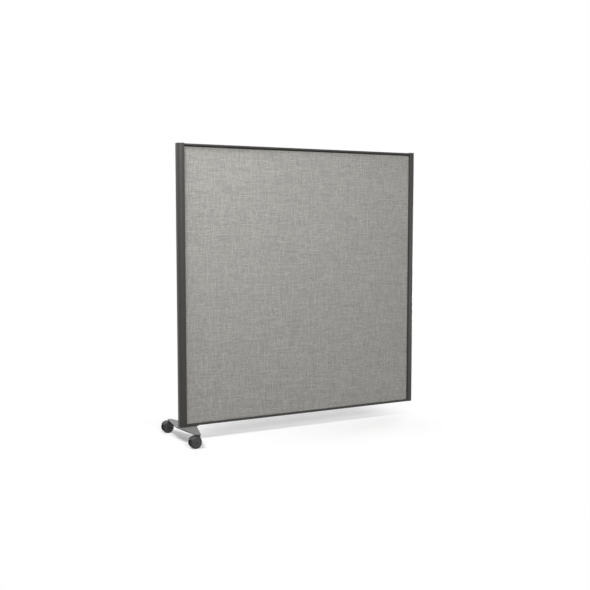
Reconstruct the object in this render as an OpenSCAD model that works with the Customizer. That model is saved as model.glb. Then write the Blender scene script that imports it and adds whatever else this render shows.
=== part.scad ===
// Rolling partition: a fabric panel in a dark steel frame, on one twin-caster foot under its left post.
// Millimetres, +Z up, +X along the panel, front face towards -Y.
// The origin is the middle of the join face: the outer face of the right post, half way up it.
// Modules draw in panel coordinates, which start at the frame's bottom left corner, midway between its faces.

/* [Frame] */
// Width over both posts
panel_w = 1220; // [700:10:1800]
// Height of the frame without the top caps
panel_h = 1210; // [800:10:1800]
// Depth of the posts, front to rear
frame_t = 44.5; // [42:0.5:56]
// Width of a post, seen from the front
post_w = 30; // [28:0.5:44]
// Wall of the post tube
post_wall = 1.5; // [1.2:0.1:2.2]
// Radius of the post's corners on its outer side
post_outer_r = 16; // [6:0.5:18]
// Radius of the post's corners beside the infill
post_inner_r = 3; // [2.5:0.1:5]
// Height of a rail
rail_h = 8; // [7:0.2:14]
// Wall of the rail tube
rail_wall = 1.2; // [0.8:0.1:1.6]
// How far a rail's face lies behind the post's face
rail_setback = 1; // [0:0.1:2]
// Radius of a rail's long edges
rail_edge_r = 1.5; // [0.9:0.1:2.5]

/* [Caps] */
// Thickness of a top cap, which stands above the frame
top_cap_t = 2; // [1:0.1:4]
// Thickness of a base cap, which ends level with the bottom rail
base_cap_t = 1.2; // [0.8:0.1:1.6]
// Depth of a cap's plug in the post tube
cap_plug_h = 14; // [8:0.5:25]
// Wall of a cap's plug
cap_plug_wall = 2; // [1.2:0.1:3]

/* [Corner brackets] */
// Thickness of a bracket's upright
upright_t = 3; // [2:0.1:4]
// Height of a bracket's upright
upright_h = 60; // [50:1:80]
// Reach of a bracket's arm along the rail
arm_reach = 48; // [44:1:70]
// Width of a bracket, front to rear
bracket_w = 30; // [28:0.5:34]
// Radius of a bracket screw's thread
screw_r = 2; // [1.5:0.1:2.5]
// Radius of a bracket screw's countersunk head
screw_head_r = 3.6; // [3:0.1:4]
// Height of a bracket screw's countersunk head
screw_head_h = 1.8; // [1.2:0.1:2.2]
// Distance of a bracket screw from the frame's mid-plane
screw_y = 10; // [9.5:0.1:10.5]
// Height of an upright's screws above the inner face of the rail
upright_screw_z = 34; // [20:1:38]
// Distance of an arm's screws from the post
arm_screw_x = 14; // [8:0.5:20]

/* [Infill] */
// Thickness of the honeycomb core and its battens
core_t = 19; // [17:0.5:22]
// Thickness of a facing board
facing_t = 3; // [2:0.1:4]
// Thickness of the fabric
fabric_t = 0.8; // [0.5:0.1:1.2]
// How far the fabric is turned over the infill's edges, from the facing's face
fabric_wrap = 6.6; // [4:0.1:6.9]
// Width of a batten
batten_w = 38; // [24:1:60]
// Shadow gap between the infill and the top rail
top_gap = 5; // [3:0.1:6]
// Gap between the infill and each post
side_gap = 0.5; // [0.3:0.1:2]
// Width of the U-shaped key channel that holds the infill's edge
key_w = 10; // [8:0.1:10.5]
// Height of the key channel
key_h = 8; // [7:0.1:12]
// Wall of the key channel
key_wall = 1.2; // [0.8:0.1:2]
// Length left free between a post's key channel and the frame's corner
key_end = 80; // [62:1:150]

/* [Join holes] */
// Distance between the two join holes in the right post
join_pitch = 900; // [400:10:1000]
// Radius of a join hole's thread
join_r = 3; // [2:0.1:3.5]
// Radius of the insert's sleeve
join_sleeve_r = 4.4; // [4:0.1:5]
// Length of the insert, from the post's outer face inwards
join_len = 14; // [8:0.5:16]
// Radius of the insert's flange
join_flange_r = 5.8; // [5.3:0.1:6]
// Thickness of the insert's flange, which lies level with the post's face
join_flange_t = 0.9; // [0.5:0.1:1]

/* [Foot] */
// Thickness of the saddle between the frame and the foot plate
saddle_t = 3; // [2:0.1:6]
// Reach of the saddle under the bottom rail, from the post's outer face
saddle_reach = 84; // [78:1:110]
// Width of the saddle, front to rear
saddle_w = 40; // [34:0.5:42]
// Distance of the saddle's outer end from the post's outer face
saddle_inset = 2; // [0.5:0.1:4]
// Thickness of the foot plate
foot_t = 4; // [3:0.1:8]
// Length of the foot plate, front to rear
foot_len = 344; // [300:2:460]
// Width of the foot plate's tips
tip_w = 18.5; // [16:0.5:24]
// Distance of the tips' middle from the post's outer face
tip_x = 21.25; // [18:0.25:26]
// How far the foot plate's middle stands out past the post's outer face
foot_out = 9; // [4:0.5:20]
// How far the foot plate's middle reaches under the panel, from the post's outer face
foot_in = 77; // [76:1:100]
// Length of the straight stretch at the middle of each long edge
foot_flat = 20; // [10:1:60]
// Radius of the foot plate's corners
foot_corner_r = 4; // [2:0.5:6]
// Height of the threaded block in the left post
block_h = 14; // [9:0.5:30]
// Radius of a foot bolt's thread
bolt_r = 3; // [2.5:0.1:3.5]
// Radius of a foot bolt's round head
bolt_head_r = 5.2; // [4.8:0.1:6]
// Height of a foot bolt's head
bolt_head_h = 3.5; // [2.5:0.1:5]
// Radius of the hex socket in a foot bolt's head, across its corners
bolt_hex_r = 2.3; // [1.5:0.1:2.5]
// Radius of a foot washer
washer_r = 6.2; // [6:0.1:6.5]
// Thickness of a foot washer
washer_t = 1.2; // [0.8:0.1:2]
// Distance of a foot bolt from the frame's mid-plane
bolt_y = 9.5; // [9:0.1:10]
// Distance of the post's foot bolts from its outer face
post_bolt_x = 13; // [12:0.5:14]
// Distance of the rail's foot bolts from the post's inner face
rail_bolt_x = 32; // [28:0.5:36]

/* [Casters] */
// Distance of each caster's stem from the end of its tip
stem_inset = 10; // [9:0.5:16]
// Radius of the stem
stem_r = 4; // [3:0.1:5]
// Length of the stem below the foot plate
stem_len = 23; // [20:0.5:24]
// Radius of the stem's collar under the foot plate
collar_r = 7; // [6:0.1:8]
// Gap between the foot plate and the caster's body
collar_gap = 1.5; // [1:0.1:4]
// Depth of the groove for the stem's clip
clip_groove = 0.7; // [0.4:0.1:1]
// Radial width of the clip
clip_w = 1.6; // [1.2:0.1:1.8]
// Thickness of the clip
clip_t = 1.2; // [0.8:0.1:1.6]
// Width of the split in the clip
clip_split = 2; // [1:0.1:3]
// Height of the clip above the stem's end
clip_rise = 3.5; // [2:0.1:5]
// Distance from the stem's axis to the wheels' axle
trail = 13.25; // [11:0.25:16]
// Diameter of a wheel over its tread
wheel_d = 50; // [46:1:54]
// Radial thickness of the tread
tread_t = 5; // [3:0.1:5.5]
// Distance of a tread's inner edge from the caster's mid-plane
tread_in = 8.8; // [8.6:0.1:9.5]
// Width of a tread
tread_w = 9.2; // [8:0.1:11]
// Radial thickness of a wheel's rim
rim_t = 3; // [2:0.1:3.5]
// Thickness of a wheel's disc
disc_t = 3; // [2:0.1:4]
// Radius of a wheel's hub
hub_r = 5; // [4.5:0.1:5.2]
// How far a wheel's face stands out past its tread
face_crown = 1.6; // [1:0.1:2.5]
// Radius of the hub cap
hub_cap_r = 9; // [7:0.1:11]
// Depth of the hub cap's seat in the wheel's face
hub_seat = 2.2; // [1.8:0.1:2.6]
// How far the hub cap stands out past its seat's edge
hub_cap_crown = 0.8; // [0.3:0.1:1.5]
// Radius of the axle
axle_r = 3; // [2.5:0.1:3.2]
// Half the length of the boss that carries the axle
boss_half = 5.5; // [4:0.1:6]
// Radius of the boss that carries the axle
boss_r = 6.5; // [6:0.1:8]
// Wall of the hood over the wheels
hood_wall = 1.3; // [1:0.1:2]
// Radial depth of the hood's side cheeks
cheek_depth = 6; // [5.6:0.1:9]
// Angle above the level at which the hood ends, on the wheels' side
hood_end = 30; // [10:1:40]
// Angle above the level at which the hood ends, on the stem's side
hood_start = 34; // [30:1:44]
// Thickness of the web between the wheels
web_t = 5; // [4:0.1:7]
// Outer radius of the socket that turns on the stem
socket_r = 8; // [7.5:0.1:8.3]
// Outer radius of the housing that closes the hood round the stem, above the wheels
housing_r = 10.4; // [9:0.1:11]
// Wall under the stem in the socket
socket_floor = 1.5; // [1:0.1:3]

/* [Clearances] */
// Gap between pieces that slip into each other
fit_gap = 0.3; // [0.2:0.05:0.4]
// Gap around a piece that is pressed or welded in
press_gap = 0.05; // [0.02:0.01:0.1]
// Radial gap of a running fit
run_gap = 0.06; // [0.02:0.01:0.1]
// Gap between the wheels and the hood
wheel_gap = 0.7; // [0.5:0.1:1.5]

/* [Hidden] */
$fn = 64;
// small overrun of a cutter past the face it cuts
over = 0.5;
// segments of each rounded plate corner
corner_steps = 6;

frame_colour = "#46474a";
cap_colour = "#38393b";
bracket_colour = "#8d9196";
zinc_colour = "#aeb2b6";
fabric_colour = "#a3a39c";
board_colour = "#8a6f4d";
wood_colour = "#d0ab74";
core_colour = "#c2a878";
foot_colour = "#9b9b9a";
saddle_colour = "#3d3e40";
body_colour = "#333436";
wheel_colour = "#4a4b4d";
tread_colour = "#2a2b2c";

// frame
rail_t = frame_t - 2 * rail_setback;
rail_len = panel_w - 2 * post_w;
post_in = post_w - post_wall;
origin_z = panel_h / 2;

// infill
infill_x0 = post_w + side_gap;
infill_x1 = panel_w - infill_x0;
infill_z0 = rail_h + fit_gap;
infill_z1 = panel_h - rail_h - top_gap;
board_x0 = infill_x0 + fabric_t;
board_x1 = infill_x1 - fabric_t;
board_z0 = infill_z0 + fabric_t;
board_z1 = infill_z1 - fabric_t;
board_t = core_t + 2 * facing_t;
groove_w = key_w + 2 * fit_gap;
groove_d = key_h + 1;

// corner brackets: the arm lies in the rail's hollow, clear of the base cap below it
arm_z0 = max(rail_wall, base_cap_t) + fit_gap;
arm_z1 = rail_h - rail_wall - fit_gap;
upright_x0 = post_in - upright_t;
plug_x1 = upright_x0 - fit_gap;

// foot
plate_z1 = -saddle_t;
plate_z0 = plate_z1 - foot_t;
stem_y = foot_len / 2 - stem_inset;
bolt_top = arm_z1 - fit_gap;

// casters, measured from the foot plate's underside at the stem
wheel_r = wheel_d / 2;
hood_ri = wheel_r + wheel_gap;
hood_ro = hood_ri + hood_wall;
axle_z = -collar_gap - hood_ro;
core_r = wheel_r - tread_t;
tread_out = tread_in + tread_w;
shoulder_r = min(tread_t, tread_w - 1);
cheek_in = tread_out + wheel_gap;
cheek_out = cheek_in + hood_wall;
hub_in = boss_half + fit_gap;
face_y = tread_out + face_crown;
seat_y = face_y - hub_seat;
axle_half = seat_y - fit_gap;
socket_z1 = -collar_gap;
clip_z0 = -stem_len + clip_rise;
groove_r = stem_r - clip_groove;
clip_r = groove_r + run_gap + clip_w;

// ---- placing ----

// panel coordinates to the part's own frame
module placed() {
    translate([-panel_w, 0, -origin_z])
        children();
}

// side 0 is the left end, side 1 the right end
module at_side(side) {
    if (side == 0)
        children();
    else
        translate([panel_w, 0, 0])
            mirror([1, 0, 0])
                children();
}

// level 0 is the bottom, level 1 the top
module at_level(level) {
    if (level == 0)
        children();
    else
        translate([0, 0, panel_h])
            mirror([0, 0, 1])
                children();
}

// end -1 is the front caster's stem, end 1 the rear one's
module at_caster(end) {
    translate([tip_x, end * stem_y, plate_z0])
        children();
}

// a wheel's own place: its axis along Z, its outer face up, away from the caster's middle
module at_wheel(end, side) {
    at_caster(end)
        translate([-trail, 0, axle_z])
            rotate([side < 0 ? 90 : -90, 0, 0])
                children();
}

// a box between two corners
module span(low, high) {
    translate(low)
        cube(high - low);
}

// ---- outlines ----

// rectangle with round corners, centred
module round_rect(w, h, r) {
    square([w - 2 * r, h], center = true);
    square([w, h - 2 * r], center = true);
    for (sx = [-1, 1], sy = [-1, 1])
        translate([sx * (w / 2 - r), sy * (h / 2 - r)])
            circle(r = r);
}

// the left post's section, with every face moved inwards by inset
module post_section(inset) {
    ro = post_outer_r;
    ri = post_inner_r;
    y = frame_t / 2;
    for (s = [-1, 1]) {
        intersection() {
            translate([ro, s * (y - ro)])
                circle(r = ro - inset);
            translate([0, -y])
                square([ro, 2 * y]);
        }
        translate([post_w - ri, s * (y - ri)])
            circle(r = ri - inset);
    }
    translate([inset, ro - y])
        square([post_w - 2 * inset, 2 * (y - ro)]);
    translate([ro, inset - y])
        square([post_w - ri - ro, 2 * (y - inset)]);
    translate([ro, ri - y])
        square([post_w - inset - ro, 2 * (y - ri)]);
}

// arc that rounds the corner b of the path a, b, c
function rounded_corner(a, b, c, r) =
    let (
        u = (a - b) / norm(a - b),
        v = (c - b) / norm(c - b),
        half = acos(u * v) / 2,
        mid = b + r / sin(half) * (u + v) / norm(u + v),
        p = b + r / tan(half) * u - mid,
        q = b + r / tan(half) * v - mid,
        turn = 180 - 2 * half,
        way = sign(p[0] * q[1] - p[1] * q[0])
    )
    [for (i = [0 : corner_steps])
        let (t = way * turn * i / corner_steps)
        mid + [p[0] * cos(t) - p[1] * sin(t), p[0] * sin(t) + p[1] * cos(t)]];

// closed outline with every corner rounded to r
function rounded(points, r) =
    let (n = len(points))
    [for (i = [0 : n - 1])
        each rounded_corner(points[(i + n - 1) % n], points[i], points[(i + 1) % n], r)];

// ---- frame ----

// slot in the post's inner wall for a bracket's arm, open at the post's end
module arm_slot() {
    span([upright_x0, -bracket_w / 2 - fit_gap, -over],
        [post_w + over, bracket_w / 2 + fit_gap, arm_z1 + fit_gap]);
}

// countersunk screw with its head's face at Z 0 and its thread pointing down, grown by gap;
// with a gap it cuts a hole, so it also stands proud of the face
module screw(length, gap) {
    translate([0, 0, -screw_head_h])
        cylinder(h = screw_head_h, r1 = screw_r + gap, r2 = screw_head_r + gap);
    translate([0, 0, -length - gap])
        cylinder(h = length + gap, r = screw_r + gap);
    if (gap > 0)
        cylinder(h = over, r = screw_head_r + gap);
}

// the four screws of the bottom left bracket
module corner_screws(gap) {
    for (s = [-1, 1]) {
        translate([post_w, s * screw_y, rail_h + upright_screw_z])
            rotate([0, 90, 0])
                screw(post_wall + upright_t, gap);
        translate([post_w + arm_screw_x, s * screw_y, rail_h])
            screw(rail_wall + fit_gap + arm_z1 - arm_z0, gap);
    }
}

module post_blank() {
    difference() {
        translate([0, 0, base_cap_t])
            linear_extrude(panel_h - base_cap_t)
                post_section(0);
        translate([0, 0, base_cap_t - over])
            linear_extrude(panel_h - base_cap_t + 2 * over)
                post_section(post_wall);
        for (level = [0, 1])
            at_level(level) {
                arm_slot();
                corner_screws(press_gap);
            }
    }
}

module left_post() {
    color(frame_colour)
        placed()
            post_blank();
}

module right_post() {
    color(frame_colour)
        placed()
            difference() {
                at_side(1)
                    post_blank();
                join_places()
                    insert_outer(press_gap, over);
            }
}

module rail_blank() {
    difference() {
        translate([post_w, 0, rail_h / 2])
            rotate([90, 0, 90])
                linear_extrude(rail_len)
                    round_rect(rail_t, rail_h, rail_edge_r);
        span([post_w - over, -rail_t / 2 + rail_wall, rail_wall],
            [panel_w - post_w + over, rail_t / 2 - rail_wall, rail_h - rail_wall]);
        for (side = [0, 1])
            at_side(side)
                corner_screws(press_gap);
    }
}

module top_rail() {
    color(frame_colour)
        placed()
            at_level(1)
                rail_blank();
}

module bottom_rail() {
    color(frame_colour)
        placed()
            difference() {
                rail_blank();
                foot_bolt_holes(press_gap);
            }
}

// ---- caps ----

// the outline inside the post tube that is clear of the brackets, grown inwards by gap
module plug_section(gap) {
    intersection() {
        post_section(post_wall + gap);
        translate([0, -frame_t / 2])
            square([plug_x1, frame_t]);
    }
}

module cap_plug() {
    linear_extrude(cap_plug_h)
        difference() {
            plug_section(press_gap);
            intersection() {
                post_section(post_wall + press_gap + cap_plug_wall);
                translate([0, -frame_t / 2])
                    square([plug_x1 - cap_plug_wall, frame_t]);
            }
        }
}

module top_cap(side) {
    color(cap_colour)
        placed()
            at_side(side) {
                translate([0, 0, panel_h])
                    linear_extrude(top_cap_t)
                        post_section(0);
                translate([0, 0, panel_h - cap_plug_h])
                    cap_plug();
            }
}

module right_base_cap() {
    color(cap_colour)
        placed()
            at_side(1) {
                linear_extrude(base_cap_t)
                    post_section(0);
                translate([0, 0, base_cap_t])
                    cap_plug();
            }
}

module left_base_pad() {
    color(cap_colour)
        placed()
            difference() {
                linear_extrude(base_cap_t)
                    post_section(0);
                foot_bolt_holes(press_gap);
            }
}

// ---- corner brackets ----

module bracket_blank() {
    difference() {
        union() {
            span([upright_x0, -bracket_w / 2, arm_z0],
                [post_in, bracket_w / 2, arm_z0 + upright_h]);
            span([upright_x0, -bracket_w / 2, arm_z0],
                [post_w + arm_reach, bracket_w / 2, arm_z1]);
        }
        corner_screws(press_gap);
    }
}

module bracket(side, level) {
    color(bracket_colour)
        placed()
            at_side(side)
                at_level(level)
                    bracket_blank();
}

module bracket_bottom_left() {
    color(bracket_colour)
        placed()
            difference() {
                bracket_blank();
                foot_bolt_holes(press_gap);
            }
}

module bracket_screws() {
    color(zinc_colour)
        placed()
            for (side = [0, 1], level = [0, 1])
                at_side(side)
                    at_level(level)
                        corner_screws(0);
}

// ---- key channels ----

// U-shaped channel of a length, its web on Z 0 and its legs up, running along X
module key_channel(length) {
    difference() {
        span([0, -key_w / 2, 0], [length, key_w / 2, key_h]);
        span([-over, -key_w / 2 + key_wall, key_wall],
            [length + over, key_w / 2 - key_wall, key_h + over]);
    }
}

module side_key(side) {
    color(frame_colour)
        placed()
            at_side(side)
                translate([post_w, 0, panel_h - key_end])
                    rotate([0, 90, 0])
                        key_channel(panel_h - 2 * key_end);
}

// the rails' channels run from post to post, so that the shadow gap is closed behind
module level_key(level) {
    color(frame_colour)
        placed()
            at_level(level)
                translate([post_w + fit_gap, 0, rail_h])
                    key_channel(rail_len - 2 * fit_gap);
}

// ---- infill ----

// a board of the infill's inner size between two depths
module board(y0, y1) {
    span([board_x0, y0, board_z0], [board_x1, y1, board_z1]);
}

// the grooves that the infill's edges have for the rails' channels
module level_grooves() {
    span([board_x0 - over, -groove_w / 2, board_z0 - over],
        [board_x1 + over, groove_w / 2, rail_h + groove_d]);
    span([board_x0 - over, -groove_w / 2, panel_h - rail_h - groove_d],
        [board_x1 + over, groove_w / 2, board_z1 + over]);
}

module side_batten(side) {
    color(wood_colour)
        placed()
            difference() {
                at_side(side)
                    difference() {
                        span([board_x0, -core_t / 2, board_z0],
                            [board_x0 + batten_w, core_t / 2, board_z1]);
                        span([board_x0 - over, -groove_w / 2, board_z0 - over],
                            [post_w + groove_d, groove_w / 2, board_z1 + over]);
                    }
                level_grooves();
            }
}

// a batten between the side ones, with its lower edge at z
module level_batten(z) {
    color(wood_colour)
        placed()
            difference() {
                span([board_x0 + batten_w, -core_t / 2, z],
                    [board_x1 - batten_w, core_t / 2, z + batten_w]);
                level_grooves();
            }
}

module honeycomb_core() {
    color(core_colour)
        placed()
            span([board_x0 + batten_w, -core_t / 2, board_z0 + batten_w],
                [board_x1 - batten_w, core_t / 2, board_z1 - batten_w]);
}

// face -1 is the front, face 1 the rear
module facing(face) {
    color(board_colour)
        placed()
            if (face < 0)
                board(-board_t / 2, -core_t / 2);
            else
                board(core_t / 2, board_t / 2);
}

module fabric(face) {
    color(fabric_colour)
        placed()
            mirror([0, face < 0 ? 0 : 1, 0])
                difference() {
                    span([infill_x0, -board_t / 2 - fabric_t, infill_z0],
                        [infill_x1, -board_t / 2 + fabric_wrap, infill_z1]);
                    board(-board_t / 2, 0);
                }
}

// ---- join holes ----

module join_places() {
    for (s = [-1, 1])
        translate([panel_w, 0, panel_h / 2 + s * join_pitch / 2])
            rotate([0, 90, 0])
                children();
}

// the insert's outside, its face at Z 0 and its sleeve down, grown by gap and past the face by proud
module insert_outer(gap, proud) {
    translate([0, 0, -join_flange_t - gap])
        cylinder(h = join_flange_t + gap + proud, r = join_flange_r + gap);
    translate([0, 0, -join_len])
        cylinder(h = join_len, r = join_sleeve_r + gap);
}

module join_inserts() {
    color(zinc_colour)
        placed()
            join_places()
                difference() {
                    insert_outer(0, 0);
                    translate([0, 0, -join_len - over])
                        cylinder(h = join_len + 2 * over, r = join_r);
                }
}

// ---- foot ----

module bolt_places() {
    for (x = [post_bolt_x, post_w + rail_bolt_x], s = [-1, 1])
        translate([x, s * bolt_y, 0])
            children();
}

module foot_bolt_holes(gap) {
    bolt_places()
        translate([0, 0, plate_z0 - over])
            cylinder(h = bolt_top - plate_z0 + 2 * over, r = bolt_r + gap);
}

module foot_block() {
    color(bracket_colour)
        placed()
            difference() {
                translate([0, 0, base_cap_t])
                    linear_extrude(block_h)
                        plug_section(press_gap);
                foot_bolt_holes(press_gap);
            }
}

module foot_saddle() {
    color(saddle_colour)
        placed()
            difference() {
                translate([(saddle_inset + saddle_reach) / 2, 0, plate_z1])
                    linear_extrude(saddle_t)
                        round_rect(saddle_reach - saddle_inset, saddle_w, foot_corner_r);
                foot_bolt_holes(press_gap);
            }
}

// the plate's plan: wide under the panel, narrow at its two tips
module foot_plan() {
    tip = foot_len / 2;
    flat = foot_flat / 2;
    half = [
        [foot_in, flat], [tip_x + tip_w / 2, tip], [tip_x - tip_w / 2, tip], [-foot_out, flat]
    ];
    rear = rounded(concat(half, [for (i = [3 : -1 : 0]) [half[i][0], -half[i][1]]]), foot_corner_r);
    polygon(rear);
}

module foot_plate() {
    color(foot_colour)
        placed()
            difference() {
                translate([0, 0, plate_z0])
                    linear_extrude(foot_t)
                        foot_plan();
                foot_bolt_holes(press_gap);
                for (end = [-1, 1])
                    at_caster(end)
                        translate([0, 0, -over])
                            cylinder(h = foot_t + 2 * over, r = stem_r + press_gap);
            }
}

module foot_washers() {
    color(zinc_colour)
        placed()
            bolt_places()
                translate([0, 0, plate_z0 - washer_t])
                    difference() {
                        cylinder(h = washer_t, r = washer_r);
                        translate([0, 0, -over])
                            cylinder(h = washer_t + 2 * over, r = bolt_r + fit_gap);
                    }
}

module foot_bolts() {
    color(zinc_colour)
        placed()
            bolt_places()
                translate([0, 0, plate_z0 - washer_t])
                    difference() {
                        union() {
                            translate([0, 0, -bolt_head_h])
                                cylinder(h = bolt_head_h, r = bolt_head_r);
                            cylinder(h = bolt_top - plate_z0 + washer_t, r = bolt_r);
                        }
                        translate([0, 0, -bolt_head_h - over])
                            cylinder(h = bolt_head_h / 2 + over, r = bolt_hex_r, $fn = 6);
                    }
}

// ---- casters ----

// stem: riveted level with the plate's top, a collar under the plate, then the pin with its clip groove
module caster_stem(end) {
    color(zinc_colour)
        placed()
            at_caster(end)
                difference() {
                    union() {
                        cylinder(h = foot_t, r = stem_r);
                        translate([0, 0, -stem_len])
                            cylinder(h = stem_len, r = stem_r);
                        translate([0, 0, -collar_gap + fit_gap])
                            cylinder(h = collar_gap - fit_gap, r = collar_r);
                    }
                    translate([0, 0, clip_z0])
                        difference() {
                            cylinder(h = clip_t + run_gap, r = stem_r + over);
                            cylinder(h = clip_t + run_gap, r = groove_r);
                        }
                }
}

module stem_clip(end) {
    color(zinc_colour)
        placed()
            at_caster(end)
                translate([0, 0, clip_z0])
                    difference() {
                        cylinder(h = clip_t, r = clip_r);
                        translate([0, 0, -over])
                            cylinder(h = clip_t + 2 * over, r = groove_r + run_gap);
                        span([0, -clip_split / 2, -over],
                            [clip_r + over, clip_split / 2, clip_t + over]);
                    }
}

// half of the hood's section: radius along X, distance from the caster's mid-plane along Y
module hood_half_section() {
    inner_r = shoulder_r + wheel_gap;
    outer_r = inner_r + hood_wall;
    difference() {
        union() {
            square([hood_ro, cheek_out - outer_r]);
            square([hood_ro - outer_r, cheek_out]);
            translate([hood_ro - outer_r, cheek_out - outer_r])
                circle(r = outer_r);
        }
        union() {
            translate([-over, -over])
                square([hood_ri + over, cheek_in - inner_r + over]);
            translate([-over, -over])
                square([hood_ri - inner_r + over, cheek_in + over]);
            translate([hood_ri - inner_r, cheek_in - inner_r])
                circle(r = inner_r);
        }
        translate([-over, -over])
            square([hood_ro - cheek_depth + over, cheek_out + 2 * over]);
    }
}

// the sector of the wheel's plane that the hood covers, out past a reach
module hood_sector(reach) {
    x0 = reach * cos(hood_start);
    x1 = -reach * cos(hood_end);
    polygon([
        [0, 0], [x0, reach * sin(hood_start)], [x0, 2 * reach],
        [x1, 2 * reach], [x1, reach * sin(hood_end)]
    ]);
}

// round housing over the socket, from its top down to the hood's end and clear of the wheels
module stem_housing() {
    end_z = axle_z + (hood_ri + hood_wall / 2) * sin(hood_start);
    difference() {
        translate([0, 0, end_z])
            cylinder(h = socket_z1 - end_z, r = housing_r);
        translate([-trail, 0, axle_z])
            rotate([90, 0, 0])
                cylinder(h = 2 * cheek_out, r = hood_ri, center = true);
    }
}

// hood, web, axle boss, stem socket and its housing, moulded in one piece
module caster_body(end) {
    color(body_colour)
        placed()
            at_caster(end)
                difference() {
                    union() {
                        translate([-trail, 0, axle_z])
                            rotate([90, 0, 0]) {
                                intersection() {
                                    for (s = [0, 1])
                                        mirror([0, 0, s])
                                            rotate_extrude()
                                                hood_half_section();
                                    linear_extrude(4 * hood_ro, center = true)
                                        hood_sector(2 * hood_ro);
                                }
                                linear_extrude(web_t, center = true)
                                    intersection() {
                                        circle(r = hood_ri + hood_wall / 2);
                                        hood_sector(2 * hood_ro);
                                    }
                                cylinder(h = 2 * boss_half, r = boss_r, center = true);
                            }
                        translate([0, 0, -stem_len - socket_floor])
                            cylinder(h = stem_len + socket_floor + socket_z1, r = socket_r);
                        stem_housing();
                    }
                    translate([0, 0, -stem_len - fit_gap])
                        cylinder(h = stem_len + fit_gap + over, r = stem_r + run_gap);
                    translate([0, 0, clip_z0 - fit_gap])
                        cylinder(h = clip_t + 2 * fit_gap, r = clip_r + fit_gap);
                    translate([-trail, 0, axle_z])
                        rotate([90, 0, 0])
                            cylinder(h = 4 * boss_half, r = axle_r + press_gap, center = true);
                }
}

module axle(end) {
    color(zinc_colour)
        placed()
            at_caster(end)
                translate([-trail, 0, axle_z])
                    rotate([90, 0, 0])
                        cylinder(h = 2 * axle_half, r = axle_r, center = true);
}

// wheel: hub, disc and rim in one moulding, with a seat for the hub cap in its face
module wheel(end, side) {
    color(wheel_colour)
        placed()
            at_wheel(end, side)
                rotate_extrude()
                    polygon([
                        [axle_r + run_gap, hub_in], [hub_r, hub_in],
                        [hub_r, seat_y - disc_t], [core_r - rim_t, seat_y - disc_t],
                        [core_r - rim_t, tread_in], [core_r - press_gap, tread_in],
                        [core_r - press_gap, tread_out], [hub_cap_r + press_gap, face_y],
                        [hub_cap_r + press_gap, seat_y], [axle_r + run_gap, seat_y]
                    ]);
}

module tread(end, side) {
    color(tread_colour)
        placed()
            at_wheel(end, side)
                rotate_extrude()
                    difference() {
                        union() {
                            translate([0, tread_in])
                                square([wheel_r, tread_w - shoulder_r]);
                            translate([0, tread_in])
                                square([wheel_r - shoulder_r, tread_w]);
                            translate([wheel_r - shoulder_r, tread_out - shoulder_r])
                                circle(r = shoulder_r);
                        }
                        translate([-over, 0])
                            square([core_r + over, tread_out + over]);
                        square([wheel_r + over, tread_in]);
                    }
}

// hub cap: a low dome pressed into the seat of the wheel's face
module hub_cap(end, side) {
    rise = hub_cap_crown;
    dome_r = (hub_cap_r * hub_cap_r + rise * rise) / (2 * rise);
    color(body_colour)
        placed()
            at_wheel(end, side)
                rotate_extrude()
                    intersection() {
                        translate([0, seat_y + press_gap])
                            square([hub_cap_r, hub_seat + rise]);
                        translate([0, face_y + rise - dome_r])
                            circle(r = dome_r, $fn = 256);
                    }
}

// ---- the part ----

left_post();
right_post();
top_rail();
bottom_rail();
top_cap(0);  // left_top_cap
top_cap(1);  // right_top_cap
left_base_pad();
right_base_cap();
bracket(0, 1);  // bracket_top_left
bracket(1, 1);  // bracket_top_right
bracket_bottom_left();
bracket(1, 0);  // bracket_bottom_right
bracket_screws();
side_key(0);  // left_key
side_key(1);  // right_key
level_key(1);  // top_key
level_key(0);  // bottom_key
honeycomb_core();
side_batten(0);  // left_batten
side_batten(1);  // right_batten
level_batten(board_z1 - batten_w);  // top_batten
level_batten(board_z0);  // bottom_batten
facing(-1);  // front_facing
facing(1);  // rear_facing
fabric(-1);  // front_fabric
fabric(1);  // rear_fabric
join_inserts();
foot_block();
foot_saddle();
foot_plate();
foot_bolts();
foot_washers();
caster_stem(-1);  // front_caster_stem
stem_clip(-1);  // front_stem_clip
caster_body(-1);  // front_caster_body
axle(-1);  // front_axle
wheel(-1, -1);  // front_outer_wheel
tread(-1, -1);  // front_outer_tread
hub_cap(-1, -1);  // front_outer_hub_cap
wheel(-1, 1);  // front_inner_wheel
tread(-1, 1);  // front_inner_tread
hub_cap(-1, 1);  // front_inner_hub_cap
caster_stem(1);  // rear_caster_stem
stem_clip(1);  // rear_stem_clip
caster_body(1);  // rear_caster_body
axle(1);  // rear_axle
wheel(1, 1);  // rear_outer_wheel
tread(1, 1);  // rear_outer_tread
hub_cap(1, 1);  // rear_outer_hub_cap
wheel(1, -1);  // rear_inner_wheel
tread(1, -1);  // rear_inner_tread
hub_cap(1, -1);  // rear_inner_hub_cap
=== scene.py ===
"""Dresses a rolling partition in a plain studio: coated steel frame, woven covers, flat foot and twin-wheel
casters."""

import math

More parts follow.
